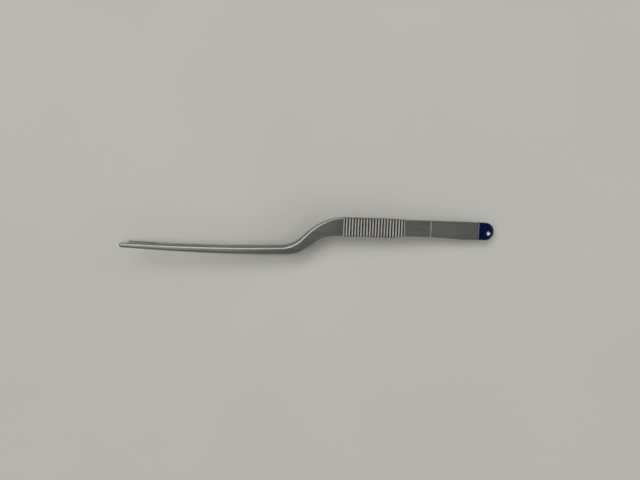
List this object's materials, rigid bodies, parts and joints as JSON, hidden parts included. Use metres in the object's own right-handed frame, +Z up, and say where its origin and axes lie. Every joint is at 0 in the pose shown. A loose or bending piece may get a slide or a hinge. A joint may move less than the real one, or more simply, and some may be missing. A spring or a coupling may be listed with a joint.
{
  "type": "bayonet forceps",
  "caption": "Bayonet dressing tweezers with an S-bend, long tapering shafts, ribbed grips, serrated blunt tips and a dipped rear end.",
  "frame": {"origin": "middle of the box of the forceps, on the surface that it lies on", "axes": "+X from the tips towards the joined rear end, +Y from the shafts towards the handle, +Z up, away from the lower arm"},
  "size_m": [0.1654, 0.0177, 0.0114],
  "materials": {
    "steel": "satin ground",
    "blue_coating": "smooth dipped gloss"
  },
  "bodies": {
    "root": {"upper_arm": "steel", "lower_arm": "steel", "rear_cap": "blue_coating"}
  },
  "joints": []
}
